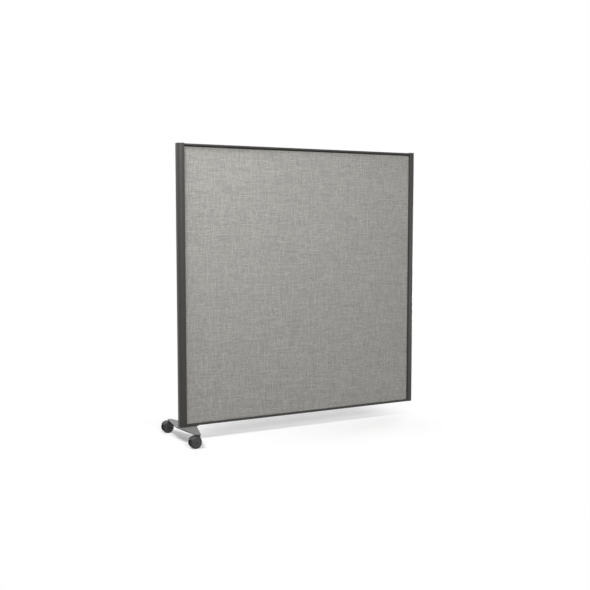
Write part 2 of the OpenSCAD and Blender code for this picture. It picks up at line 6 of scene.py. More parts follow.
import bpy
import numpy as np
from bpy.props import FloatProperty, FloatVectorProperty, IntProperty, PointerProperty
from bpy.types import Operator, Panel, PropertyGroup
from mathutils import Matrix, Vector


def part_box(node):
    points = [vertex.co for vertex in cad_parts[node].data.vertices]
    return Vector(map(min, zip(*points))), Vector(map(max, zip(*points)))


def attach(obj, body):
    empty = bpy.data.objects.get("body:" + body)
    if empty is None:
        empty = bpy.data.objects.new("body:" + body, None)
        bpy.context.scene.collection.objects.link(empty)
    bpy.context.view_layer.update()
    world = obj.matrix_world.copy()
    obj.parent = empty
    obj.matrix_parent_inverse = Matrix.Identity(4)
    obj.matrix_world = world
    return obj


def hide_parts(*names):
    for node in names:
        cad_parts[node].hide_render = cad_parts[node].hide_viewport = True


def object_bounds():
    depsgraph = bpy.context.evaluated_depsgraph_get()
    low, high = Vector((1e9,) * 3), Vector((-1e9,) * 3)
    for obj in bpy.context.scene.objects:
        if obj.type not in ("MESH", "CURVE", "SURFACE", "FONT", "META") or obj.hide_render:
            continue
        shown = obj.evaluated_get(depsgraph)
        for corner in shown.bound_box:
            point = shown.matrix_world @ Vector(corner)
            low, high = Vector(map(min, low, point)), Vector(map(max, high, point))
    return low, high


bl_info = {
    "name": "Rolling partition",
    "version": (1, 0, 0),
    "blender": (4, 5, 0),
    "location": "3D View > Sidebar > Partition",
    "description": "Finishes for a fabric partition on a twin-caster foot, with its studio and camera",
    "category": "Object",
}

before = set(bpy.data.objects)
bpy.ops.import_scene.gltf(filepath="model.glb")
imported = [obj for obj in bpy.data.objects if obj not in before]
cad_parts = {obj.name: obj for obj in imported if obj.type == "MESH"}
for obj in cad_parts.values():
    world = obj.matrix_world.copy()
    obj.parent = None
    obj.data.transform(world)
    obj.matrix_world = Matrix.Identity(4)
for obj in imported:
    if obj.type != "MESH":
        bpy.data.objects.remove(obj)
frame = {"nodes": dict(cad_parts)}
cad_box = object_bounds()


def colour(name, description, default):
    """A colour that a user can pick."""
    return FloatVectorProperty(
        name=name, description=description, default=default, subtype="COLOR", size=3, min=0, max=1
    )


def length(name, description, default):
    """A length in metres that a user can change."""
    return FloatProperty(
        name=name, description=description, default=default, min=0, unit="LENGTH", precision=4
    )


def share(name, description, default):
    """A plain number from 0 to 1 that a user can change."""
    return FloatProperty(
        name=name, description=description, default=default, min=0, max=1, subtype="FACTOR"
    )


def place(name, description, default):
    """A place in metres, or the way to it from another, that a user can change."""
    return FloatVectorProperty(
        name=name, description=description, default=default, subtype="TRANSLATION", unit="LENGTH"
    )


def angle(name, description, degrees):
    """An angle that a user can change."""
    return FloatProperty(
        name=name, description=description, default=math.radians(degrees), unit="ROTATION"
    )


def power(name, description, watts):
    """A lamp's power that a user can change."""
    return FloatProperty(name=name, description=description, default=watts, min=0, unit="POWER")


# ---- what a user can change ----


class CoatSettings(PropertyGroup):
    """Coats of the steel and the plastic of the caps."""

    frame: colour("Frame", "Powder coat of the posts and rails", (0.042, 0.040, 0.038))
    foot: colour("Foot plate", "Powder coat of the foot plate", (0.19, 0.19, 0.188))
    # partly painted shade: the foot plate's edges and underside are far darker than its top, partly a dark
    # coat and partly shade
    foot_edge: colour("Foot plate's edge", "Dark coat on its edge and underside", (0.035, 0.035, 0.035))
    saddle: colour("Saddle", "Powder coat of the strip over the foot plate", (0.045, 0.044, 0.042))
    caps: colour("Caps", "Plastic of the posts' caps", (0.058, 0.056, 0.053))
    roughness: share("Roughness", "How matt the frame's and the saddle's coat is", 0.42)
    foot_roughness: share("Foot plate's roughness", "How matt the foot plate's coat is", 0.48)
    peel: length("Orange peel", "Width of the coat's fine waves", 0.0012)


class SectionSettings(PropertyGroup):
    """Sections of the frame's tubes and caps."""

    outer: length("Outer corners", "Radius of a post's corners on its outer side", 0.016)
    inner: length("Inner corners", "Radius of a post's corners beside the infill", 0.003)
    post_wall: length("Post wall", "Wall of the posts", 0.0015)
    rail_edge: length("Rail edges", "Radius of a rail's long edges", 0.0015)
    rail_wall: length("Rail wall", "Wall of the rails", 0.0012)
    cap_edge: length("Cap edge", "Radius of the edge round a top cap", 0.0005)
    seat: length("Insert seat", "Radius of the seats for the join inserts", 0.00585)


class CoverSettings(PropertyGroup):
    """The woven covers of the infill."""

    ground: colour("Ground", "Colour of most of the yarn", (0.386, 0.379, 0.356))
    light: colour("Light slub", "Colour of the thick pale yarn", (0.58, 0.57, 0.54))
    dark: colour("Dark slub", "Colour of the thick dark yarn", (0.235, 0.230, 0.215))
    pitch: length("Yarn pitch", "Distance between neighbouring yarns", 0.0014)
    slub_width: length("Slub width", "Width of a thick place in the yarn", 0.0028)
    slub_length: length("Slub length", "Usual length of a thick place in the yarn", 0.048)
    thickness: length("Thickness", "Thickness of the cloth", 0.0008)
    fold: length("Fold radius", "Radius of the cloth where it turns over the infill's edge", 0.0018)
    crown: length("Crown", "How far the cloth stands proud between its edges", 0.0003)
    cells: IntProperty(name="Cells", description="Cells along each side of the cloth", default=90, min=8)


class InfillSettings(PropertyGroup):
    """Paper, wood and board under the covers."""

    # painted shade: the paper deep in the cells is drawn dark for the shade inside the honeycomb
    cell: colour("Cells", "Paper deep in the honeycomb's cells", (0.16, 0.11, 0.06))
    rim: colour("Rims", "Paper on the rims of the honeycomb's cells", (0.50, 0.38, 0.23))
    wood: colour("Wood", "Wood of the battens", (0.58, 0.40, 0.21))
    growth: colour("Growth lines", "Dark lines in the battens' wood", (0.40, 0.24, 0.11))
    fibre: colour("Fibre", "Pale fibre of the facing boards", (0.30, 0.19, 0.11))
    binder: colour("Binder", "Dark ground between the boards' fibres", (0.17, 0.10, 0.055))


class MetalSettings(PropertyGroup):
    """Bare and plated steel."""

    bracket: colour("Brackets", "Steel of the brackets and the foot's threaded block", (0.36, 0.37, 0.38))
    screw: colour("Screws", "Plating of the brackets' screws and the join inserts", (0.52, 0.53, 0.54))
    zinc: colour("Zinc", "Plating of the bolts, washers, axles and stem clips", (0.50, 0.51, 0.53))
    # painted shade: the stems are drawn near black for the shade under the foot plate
    stem: colour("Stems", "Dark plating of the casters' stems", (0.10, 0.10, 0.105))


class CasterSettings(PropertyGroup):
    """The casters' plastics and rubber."""

    body: colour("Body", "Plastic of the hoods and hub caps", (0.022, 0.022, 0.023))
    wheel: colour("Wheel", "Plastic of the wheels", (0.032, 0.032, 0.033))
    tread: colour("Tread", "Rubber of the treads", (0.024, 0.024, 0.025))
    dust_colour: colour("Dust colour", "Dust on the treads' rolling band", (0.11, 0.105, 0.098))
    dust: share("Dust", "How much pale dust the treads have picked up", 0.25)


class StudioSettings(PropertyGroup):
    """Camera, lamps and floor."""

    camera_place: place("Camera", "Where the camera stands", (-2.6168, -3.6115, 0.2758))
    camera_down: angle("Tilt", "How far the camera looks down", 4.64)
    camera_turn: angle("Turn", "How far the camera is turned right from square to the panel", 28.58)
    camera_lens: FloatProperty(
        name="Lens", description="Focal length for a 36 mm picture", default=55.08, unit="CAMERA"
    )
    key_place: place("Key lamp's place", "The lamp in front, from the middle", (-0.72, -2.8, 1.35))
    key_width: length("Key lamp's width", "Width of the lamp in front", 1.2)
    key_power: power("Key lamp's power", "Power of the lamp in front", 65.0)
    side_place: place("Side lamp's place", "The lamp on the left, from the left post", (-0.8, -0.37, 1.85))
    side_aim: place("Side lamp's aim", "Where that lamp looks, from the left post", (0.12, 0.0, 0.35))
    side_width: length("Side lamp's width", "Width of the lamp on the left", 0.8)
    side_power: power("Side lamp's power", "Power of the lamp on the left", 54.0)
    rear_place: place("Rear lamp's place", "The lamp behind, from the right post", (1.3, 1.0, 0.0))
    rear_width: length("Rear lamp's width", "Width of the lamp behind", 0.8)
    rear_power: power("Rear lamp's power", "Power of the lamp behind", 28.0)
    right_place: place("Right lamp's place", "Where it stands, from the right post", (2.9, -3.4, -0.5))
    right_width: length("Right lamp's width", "Width of the lamp mirrored in the right post", 0.9)
    right_power: power("Right lamp's power", "Power of the lamp mirrored in the right post", 50.0)
    back_place: place("Back lamp's place", "The lamp above the back, from the middle", (0.0, 1.8, 2.42))
    back_width: length("Back lamp's width", "Width of the lamp above the back", 1.5)
    back_power: power("Back lamp's power", "Power of the lamp above the back", 20.0)
    ambient: share("Room light", "Strength of the even light from all round", 0.02)
    floor: share("Floor", "Paleness of the floor, as it lights the object", 0.25)
    floor_seen: share("Floor tone", "Paleness of the floor, as the camera sees it", 0.60)
    floor_lift: share("Floor lift", "Share of white that is added where the camera sees the floor", 0.34)
    floor_near: length("Shadow ground", "How far round the object the floor shows its shadow", 0.32)
    floor_trim: length("Shadow trim", "How far before the right post the shadow starts to fade", 0.26)
    floor_reach: length("Floor reach", "How far the floor goes on every side", 30.0)


# ---- shader maths ----


class Wire:
    """A socket of a finish, on which plain arithmetic adds Math nodes."""

    def __init__(self, finish, socket):
        self.finish, self.socket = finish, socket

    def __add__(self, other):
        return self.finish.math("ADD", self, other)

    def __sub__(self, other):
        return self.finish.math("SUBTRACT", self, other)

    def __rsub__(self, other):
        return self.finish.math("SUBTRACT", other, self)

    def __mul__(self, other):
        return self.finish.math("MULTIPLY", self, other)

    def __truediv__(self, other):
        return self.finish.math("DIVIDE", self, other)

    def __pow__(self, other):
        return self.finish.math("POWER", self, other)

    __radd__, __rmul__ = __add__, __mul__


class Nodes:
    """A node tree, with plain calls that add to it."""

    def __init__(self, owner):
        owner.use_nodes = True
        self.tree = owner.node_tree

    def feed(self, socket, value):
        """Links a wire to a socket, or sets the socket's own value."""
        if isinstance(value, Wire):
            self.tree.links.new(value.socket, socket)
        else:
            socket.default_value = value

    def node(self, kind, settings=None, inputs=None, output=0):
        """Adds a node, sets its settings and then its sockets, and returns one of its outputs."""
        made = self.tree.nodes.new(kind)
        for key, value in (settings or {}).items():
            setattr(made, key, value)
        for key, value in (inputs or {}).items():
            self.feed(made.inputs[key], value)
        return Wire(self, made.outputs[output])

    def math(self, operation, *values):
        """One Math node."""
        return self.node("ShaderNodeMath", {"operation": operation}, dict(enumerate(values)))

    def vector(self, operation, first, second):
        """One Vector Math node."""
        return self.node("ShaderNodeVectorMath", {"operation": operation}, {0: first, 1: second})

    def here(self, centre=(0, 0, 0)):
        """Place on the piece in metres, counted from a centre."""
        return self.vector("SUBTRACT", self.node("ShaderNodeTexCoord", output="Object"), centre)

    def parts(self, vector):
        """X, Y and Z of a vector."""
        split = self.node("ShaderNodeSeparateXYZ", None, {0: vector})
        return [Wire(self, out) for out in split.socket.node.outputs]

    def joined(self, x, y):
        """A flat vector from two numbers."""
        return self.node("ShaderNodeCombineXYZ", None, {0: x, 1: y})

    def noise(self, vector, scale, detail=2.0, rough=0.5):
        """Soft noise around one half."""
        inputs = {"Vector": vector, "Scale": scale, "Detail": detail, "Roughness": rough}
        return self.node("ShaderNodeTexNoise", None, inputs)

    def speck(self, value):
        """A random number from 0 to 1 for each whole number."""
        return self.node("ShaderNodeTexWhiteNoise", {"noise_dimensions": "1D"}, {"W": value})

    def ease(self, value, low, high):
        """0 up to low, 1 from high, and a smooth step between them."""
        settings = {"interpolation_type": "SMOOTHSTEP"}
        return self.node("ShaderNodeMapRange", settings, {"Value": value, 1: low, 2: high})

    def mix(self, first, second, factor):
        """A colour between two colours."""
        inputs = {0: factor, 6: tint(first), 7: tint(second)}
        return self.node("ShaderNodeMix", {"data_type": "RGBA"}, inputs, 2)

    def relief(self, height, distance, strength=1.0):
        """Turns a height from 0 to 1 into a normal."""
        inputs = {"Height": height, "Distance": distance, "Strength": strength}
        return self.node("ShaderNodeBump", None, inputs)

    def shown(self, light, white):
        """Ends the tree: white for the camera, for reflections and through glass, and light for all else."""
        path = self.node("ShaderNodeLightPath").socket.node.outputs
        rays = [Wire(self, path[ray]) for ray in ("Is Camera Ray", "Is Glossy Ray", "Is Transmission Ray")]
        seen = self.math("MAXIMUM", self.math("MAXIMUM", rays[0], rays[1]), rays[2])
        mixed = self.node("ShaderNodeMixShader", None, {0: seen, 1: light, 2: white})
        out = next(node for node in self.tree.nodes if node.type.startswith("OUTPUT"))
        self.feed(out.inputs["Surface"], mixed)


class Finish(Nodes):
    """One material, on a Principled shader."""

    def __init__(self, name, **sockets):
        self.material = bpy.data.materials.new(name)
        super().__init__(self.material)
        self.shader = self.tree.nodes["Principled BSDF"]
        for key, value in sockets.items():
            self.feed(self.shader.inputs[key.replace("_", " ")], value)

    def done(self, base, roughness=None, normal=None):
        """Feeds the shader and returns the material."""
        for key, value in (("Base Color", base), ("Roughness", roughness), ("Normal", normal)):
            if value is not None:
                self.feed(self.shader.inputs[key], value)
        return self.material


def tint(value):
    """A colour with its alpha, or a wire as it is."""
    return value if isinstance(value, Wire) else (*value, 1.0)


def shade(value, factor):
    """A colour made darker or lighter by a factor."""
    return tuple(min(1.0, c * factor) for c in value)


# ---- finishes ----


def powder_coat(name, base, roughness, peel, lower=None, top=0.0):
    """Baked powder coat: fine waves in the film, a slight mottle and a few dull rubbed places. Where a lower
    colour is given, it covers all that lies under the top face; on the foot plate that dark colour is partly
    a coat and partly painted shade."""
    f = Finish(name, Specular_IOR_Level=0.28)
    here = f.here()
    mottle = f.noise(here, scale=9.0, detail=3.0)
    rubbed = f.ease(f.noise(here, scale=26.0, detail=4.0, rough=0.62), low=0.56, high=0.70)
    waves = f.noise(here, scale=1.0 / peel)
    grit = f.noise(here, scale=3.1 / peel, detail=1.0)
    colour = f.mix(shade(base, 0.93), shade(base, 1.08), mottle)
    colour = f.mix(colour, shade(base, 1.22), rubbed * 0.35)
    if lower:
        _, _, z = f.parts(here)
        # partly painted shade: the dark colour under the top face stands partly for shade on the plate's
        # edges and underside
        colour = f.mix(lower, colour, f.ease(z, low=top - 0.0005, high=top - 0.0002))
    rough = roughness - 0.05 + mottle * 0.08 + rubbed * 0.07
    normal = f.relief(waves * 0.8 + grit * 0.2, distance=0.00006, strength=0.55)
    return f.done(colour, rough, normal)


def moulded_plastic(name, base, roughness):
    """Moulded plastic with a fine spark-eroded grain and faint flow marks."""
    grain = 0.0009
    f = Finish(name, Specular_IOR_Level=0.45)
    here = f.here()
    flow = f.noise(f.vector("MULTIPLY", here, (40.0, 40.0, 12.0)), scale=1.0, detail=3.0)
    texture = f.noise(here, scale=1.0 / grain, detail=3.0, rough=0.6)
    colour = f.mix(shade(base, 0.88), shade(base, 1.14), flow)
    rough = roughness - 0.05 + texture * 0.1
    return f.done(colour, rough, f.relief(texture, distance=0.00005, strength=0.6))


def drawn_steel(name, base, roughness, streak):
    """Bare or plated steel with fine drawing lines and a cloudy film. streak is how often the lines change in
    a metre along X, Y and Z, so they run where it is low."""
    f = Finish(name, Metallic=1.0)
    here = f.here()
    lines = f.noise(f.vector("MULTIPLY", here, streak), scale=1.0)
    cloud = f.noise(here, scale=60.0, detail=3.0)
    colour = f.mix(shade(base, 0.82), shade(base, 1.12), cloud * 0.6 + lines * 0.4)
    rough = roughness - 0.06 + cloud * 0.12
    return f.done(colour, rough, f.relief(lines, distance=0.00003, strength=0.4))


def tread_rubber(name, base, dust_colour, dust, centre, tread_r):
    """Rubber tread: radius from the axle is the distance across X and Z, and the rolling band is dusty."""
    f = Finish(name, Specular_IOR_Level=0.35)
    here = f.here(centre)
    x, _, z = f.parts(here)
    radius = (x * x + z * z) ** 0.5
    band = f.ease(radius, low=tread_r - 0.0012, high=tread_r - 0.0002)
    scuffed = f.ease(f.noise(here, scale=420.0, detail=4.0, rough=0.65), low=0.42, high=0.66)
    colour = f.mix(base, dust_colour, band * scuffed * dust)
    rough = 0.72 + scuffed * 0.14
    return f.done(colour, rough, f.relief(f.noise(here, scale=1500.0), distance=0.00005, strength=0.5))


def turned_wheel(name, base, centre):
    """Wheel face: faint rings of a lathe-cut mould, as waves of the radius, over a fine grain."""
    ring_width = 0.0012
    f = Finish(name, Specular_IOR_Level=0.5)
    here = f.here(centre)
    x, _, z = f.parts(here)
    radius = (x * x + z * z) ** 0.5
    rings = f.math("SINE", radius * (2 * math.pi / ring_width)) * 0.5 + 0.5
    grain = f.noise(here, scale=1300.0)
    colour = f.mix(shade(base, 0.9), shade(base, 1.12), f.noise(here, scale=90.0, detail=3.0))
    normal = f.relief(rings * 0.3 + grain * 0.7, distance=0.00004, strength=0.5)
    return f.done(colour, 0.40 + grain * 0.12, normal)


def coated_pin(name, steel, coat, coat_z):
    """Caster stem: near-black steel, whose darkness is painted shade under the foot plate, and the foot
    plate's own coat on its riveted end above coat_z.
    """
    f = Finish(name)
    here = f.here()
    _, _, z = f.parts(here)
    coated = f.ease(z, low=coat_z - 0.0004, high=coat_z - 0.0002)
    cloud = f.noise(here, scale=160.0, detail=3.0)
    plated = f.mix(shade(steel, 0.8), shade(steel, 1.1), cloud)
    f.feed(f.shader.inputs["Metallic"], 1.0 - coated)
    normal = f.relief(f.noise(here, scale=900.0), distance=0.00005, strength=0.5)
    return f.done(f.mix(plated, coat, coated), 0.30 + cloud * 0.1 + coated * 0.1, normal)


def kraft_honeycomb(name, cell, rim):
    """Paper honeycomb seen on edge: the rims are where a cell's own edge is near, and lie higher; the paper
    deeper in the cells is darker, as painted shade.
    """
    cells_in_a_metre = 90.0
    f = Finish(name, Roughness=0.9)
    inputs = {"Vector": f.here(), "Scale": cells_in_a_metre}
    inward = f.node("ShaderNodeTexVoronoi", {"feature": "DISTANCE_TO_EDGE"}, inputs, "Distance")
    paper = 1.0 - f.ease(inward, low=0.03, high=0.09)
    return f.done(f.mix(cell, rim, paper), normal=f.relief(paper, distance=0.0006))


def planed_wood(name, wood, growth, grain):
    """Planed wood: growth lines are waves of a stretched, bent distance. grain is how often the wood changes
    in a metre along X, Y and Z."""
    f = Finish(name, Roughness=0.62)
    here = f.vector("MULTIPLY", f.here(), grain)
    bend = f.noise(here, scale=1.6, detail=3.0)
    lines = f.math("SINE", bend * 46.0) * 0.5 + 0.5
    pores = f.noise(here, scale=24.0)
    colour = f.mix(wood, growth, lines * 0.55 + pores * 0.25)
    return f.done(colour, normal=f.relief(pores, distance=0.0001))


def pressed_board(name, binder, fibre):
    """Hardboard: brown pressed fibre with a slight sheen."""
    f = Finish(name)
    strands = f.noise(f.here(), scale=420.0, detail=5.0, rough=0.7)
    normal = f.relief(strands, distance=0.0001, strength=0.5)
    return f.done(f.mix(binder, fibre, strands), 0.5 + strands * 0.15, normal)


def slub_rows(f, along, across, width, run, offset):
    """Thick places of one yarn direction: each row across the cloth has its own noise along it, whose peaks
    are pale slubs and whose dips are dark ones, and every second row is turned over, so that pale lies
    beside dark. Returns both masks."""
    start, full = 0.07, 0.13  # the noise's distance from its middle where a slub starts and is full
    row = f.math("FLOOR", across / width)
    body = f.math("SINE", (across / width - row) * math.pi) ** 0.4
    level = f.noise(f.joined(along / run, row * 0.6 + offset), scale=1.0, rough=0.55) - 0.5
    level = level * (1.0 - f.math("PINGPONG", row, 1.0) * 2.0)
    return f.ease(level, start, full) * body, f.ease(0.0 - level, start, full) * body


def woven_cloth(name, cover, span, map_name):
    """Plain weave on the cloth's own map: yarns cross at the pitch and take turns on top, each yarn has its
    own tone, and slubs of two sizes lie along both directions. The low places between the yarns get painted
    shade."""
    weft_seed = 7000.0  # far from the warps' numbers, so that the wefts have tones of their own
    f = Finish(name, Specular_IOR_Level=0.2, Sheen_Weight=0.12, Sheen_Roughness=0.5)
    flat = f.node("ShaderNodeUVMap", {"uv_map": map_name})
    u, v, _ = f.parts(f.vector("MULTIPLY", flat, (span, span, 0.0)))
    a, b = u / cover.pitch, v / cover.pitch
    warp, weft = f.math("FLOOR", a), f.math("FLOOR", b)
    across, along = f.math("SINE", (a - warp) * math.pi), f.math("SINE", (b - weft) * math.pi)
    turns = f.math("PINGPONG", warp + weft, 1.0)
    raised = turns * across * (along * 0.5 + 0.5) + (1.0 - turns) * along * (across * 0.5 + 0.5)
    tone = turns * f.speck(warp) + (1.0 - turns) * f.speck(weft + weft_seed)

    fine_length = cover.slub_length * 0.8
    pale_v, dim_v = slub_rows(f, v, u, cover.slub_width, cover.slub_length, offset=0.0)
    pale_h, dim_h = slub_rows(f, u, v, cover.slub_width, cover.slub_length, offset=41.0)
    fine_v, low_v = slub_rows(f, v, u, cover.pitch, fine_length, offset=83.0)
    fine_h, low_h = slub_rows(f, u, v, cover.pitch, fine_length, offset=127.0)
    pale = f.math("MINIMUM", (pale_v + pale_h) * 0.8 + (fine_v + fine_h) * 0.5, 1.0)
    dim = f.math("MINIMUM", (dim_v + dim_h) * 0.8 + (low_v + low_h) * 0.5, 1.0)

    drift = f.noise(f.joined(u, v), scale=5.0, detail=3.0)
    colour = f.mix(shade(cover.ground, 0.90), shade(cover.ground, 1.08), tone * 0.6 + drift * 0.4)
    colour = f.mix(colour, cover.dark, dim * 0.61)
    colour = f.mix(colour, cover.light, pale * 0.65)
    # painted shade: the low places between the yarns blend towards a darker copy of the ground colour
    colour = f.mix(shade(cover.ground, 0.62), colour, f.ease(raised, low=0.0, high=0.45))
    normal = f.relief(raised * 0.7 + pale * 0.3, distance=0.0003, strength=0.7)
    return f.done(colour, 0.93, normal)


def pale_floor(name, studio):
    """The floor's finish: a plain matt floor lights the object. The camera sees one with its shadows near the
    object and plain white further out, by the distance past the object's box, whose right end is trimmed."""
    low, high = cad_box
    f = Finish(name)
    x, y, _ = f.parts(f.here((low + high) / 2))
    trim = studio.floor_trim
    past_x = f.math("MAXIMUM", f.math("ABSOLUTE", x + trim / 2) - (high.x - low.x - trim) / 2, 0.0)
    past_y = f.math("MAXIMUM", f.math("ABSOLUTE", y) - (high.y - low.y) / 2, 0.0)
    far = f.ease((past_x * past_x + past_y * past_y) ** 0.5, low=0.0, high=studio.floor_near)
    matt, seen = (
        f.node("ShaderNodeBsdfDiffuse", None, {"Color": (tone, tone, tone, 1)})
        for tone in (studio.floor, studio.floor_seen)
    )
    lift, plain = (
        f.node("ShaderNodeEmission", None, {"Strength": strength})
        for strength in (studio.floor_lift, 1.0)
    )
    near = f.node("ShaderNodeAddShader", None, {0: seen, 1: lift})
    f.shown(matt, f.node("ShaderNodeMixShader", None, {0: far, 1: near, 2: plain}))
    f.tree.nodes.remove(f.shader)
    return f.material


# ---- meshes ----

X, Z = 0, 2  # the axes that pieces are swept along


def linked(name, data):
    """An object for a mesh, a lamp or a camera, in the scene."""
    made = bpy.data.objects.new(name, data)
    bpy.context.scene.collection.objects.link(made)
    return made


def surface(name, points, flat, map_name, flipped=False):
    """A mesh from a grid of points, an array of rows by columns by 3, with a map of the same grid."""
    rows, cols = points.shape[:2]
    index = np.arange(rows * cols).reshape(rows, cols)
    quads = np.stack([index[:-1, :-1], index[1:, :-1], index[1:, 1:], index[:-1, 1:]], -1).reshape(-1, 4)
    if flipped:
        quads = quads[:, ::-1]
    mesh = bpy.data.meshes.new(name)
    mesh.from_pydata(points.reshape(-1, 3), [], quads)
    corner_map = flat.reshape(-1, 2)[quads.ravel()]
    mesh.uv_layers.new(name=map_name).data.foreach_set("uv", corner_map.astype(np.float32).ravel())
    mesh.shade_smooth()
    return linked(name, mesh)


def section(low, high, radii, inset=0.0):
    """A rectangle with round corners, anticlockwise: each corner is a quarter of a circle about a point that
    lies its radius inside both sides. radii are those of the corners (+, +), (-, +), (-, -) and (+, -)."""
    steps = 20
    radius = np.array(radii)[:, None, None]
    sign = np.array([(1, 1), (-1, 1), (-1, -1), (1, -1)])[:, None, :]
    turn = np.radians(90 * np.arange(4)[:, None] + np.linspace(0, 90, steps + 1))
    middle, half = np.add(high, low) / 2, np.subtract(high, low) / 2
    arcs = (radius - inset) * np.stack([np.cos(turn), np.sin(turn)], -1)
    return (middle + sign * (half - radius) + arcs).reshape(-1, 2)


def swept(name, outlines, places, axis, closed=False):
    """Outlines carried along an axis, one at each place: the last joins the first where closed, as the inside
    and outside of a tube do, and otherwise the two ends are filled. The outline's own two directions are the
    ones that follow the axis in the order X, Y, Z, X."""
    across = np.stack(outlines)
    along = np.broadcast_to(np.array(places)[:, None, None], (*across.shape[:2], 1))
    points = np.roll(np.concatenate([along, across], -1), axis, -1)
    count, around = across.shape[:2]
    index = np.arange(count * around).reshape(count, around)
    ahead = np.roll(index, -1, 1)
    ring = np.arange(count if closed else count - 1)
    after = (ring + 1) % count
    faces = np.stack([index[ring], ahead[ring], ahead[after], index[after]], -1).reshape(-1, 4).tolist()
    if not closed:
        faces += [index[0, ::-1].tolist(), index[-1].tolist()]
    mesh = bpy.data.meshes.new(name)
    mesh.from_pydata(points.reshape(-1, 3), [], faces)
    crease(mesh)
    return linked(name, mesh)


def tube(name, outer, inner, start, end, axis):
    """A tube along an axis: its outside from start to end, and its inside back."""
    return swept(name, [outer, outer, inner, inner], [start, end, end, start], axis, closed=True)


def crease(mesh):
    """Smooth shading, apart from edges that turn by more than 30 degrees."""
    mesh.shade_smooth()
    mesh.set_sharp_from_angle(angle=math.radians(30))


def bored(piece, cutter):
    """Cuts one closed piece out of another, and removes the cutter."""
    cut = piece.modifiers.new("bore", "BOOLEAN")
    cut.operation, cut.object, cut.solver = "DIFFERENCE", cutter, "EXACT"
    scene = bpy.context.evaluated_depsgraph_get()
    old, piece.data = piece.data, bpy.data.meshes.new_from_object(piece.evaluated_get(scene))
    piece.modifiers.remove(cut)
    bpy.data.meshes.remove(old)
    bpy.data.objects.remove(cutter)
    crease(piece.data)


def stand_for(piece, node, body, material):
    """Puts a new piece in the place of a packed node, with its finish."""
    piece.data.materials.clear()
    piece.data.materials.append(material)
    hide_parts(node)
    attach(piece, body)


def edge_steps(flat_length, fold, tuck, cells):
    """Where the cloth is cut into cells along one side: few on the tucked ends, more round each fold."""
    tuck_cells, fold_cells = 2, 7
    arc = fold * math.pi / 2
    tucked, folded = np.linspace(arc + tuck, arc, tuck_cells + 1), np.linspace(arc, 0, fold_cells + 1)
    end = np.concatenate([tucked, folded[1:]])
    return np.concatenate([-end[:-1], np.linspace(0, flat_length, cells + 1), flat_length + end[::-1][1:]])


def cover_points(low, high, cover, front):
    """The outside of a cover. s and t run over the flat cloth. Past the face's edge, by the larger of past_s
    and past_t, the cloth turns a quarter round of the fold's radius and then lies straight back; at a corner
    it turns as a quarter of a round dish, by the angle that the ratio of the two gives. The face stands proud
    by the crown times the root of a product of two half waves, with a slow ripple."""
    fold, depth = cover.fold, high.y - low.y
    size_s, size_t = high.x - low.x - 2 * fold, high.z - low.z - 2 * fold
    tuck = depth - fold
    steps_s, steps_t = (edge_steps(size, fold, tuck, cover.cells) for size in (size_s, size_t))
    s, t = np.meshgrid(steps_s, steps_t, indexing="ij")
    past_s = np.maximum(np.maximum(-s, s - size_s), 0)
    past_t = np.maximum(np.maximum(-t, t - size_t), 0)
    past = np.maximum(past_s, past_t)
    ratio = np.minimum(past_s, past_t) / np.maximum(past, 1e-12)
    turn = np.where(past_s >= past_t, ratio, 2 - ratio) * math.pi / 4
    bend = np.minimum(past / fold, math.pi / 2)
    out = fold * np.sin(bend)
    back = fold * (1 - np.cos(bend)) + np.maximum(past - fold * math.pi / 2, 0)
    x = low.x + fold + np.clip(s, 0, size_s) + np.sign(s - size_s / 2) * out * np.cos(turn)
    z = low.z + fold + np.clip(t, 0, size_t) + np.sign(t - size_t / 2) * out * np.sin(turn)
    swell = np.sin(np.pi * np.clip(s / size_s, 0, 1)) * np.sin(np.pi * np.clip(t / size_t, 0, 1))
    ripple = 0.5 + 0.25 * np.sin(9.0 * s + 4.0 * t) + 0.25 * np.sin(7.0 * t - 3.0 * s)
    proud = cover.crown * np.sqrt(np.maximum(swell, 0)) * ripple
    y = low.y + back - proud if front else high.y - back + proud
    reach = fold * math.pi / 2 + tuck
    flat = np.stack([s + reach, t + reach], -1)
    return np.stack([x, y, z], -1), flat, (size_s + 2 * reach, size_t + 2 * reach)


def dress(material, *nodes):
    """Gives packed nodes a finish."""
    for node in nodes:
        piece = frame["nodes"][node]
        if not piece.material_slots:
            piece.data.materials.append(material)
        for slot in piece.material_slots:
            slot.material = material


# ---- operators ----


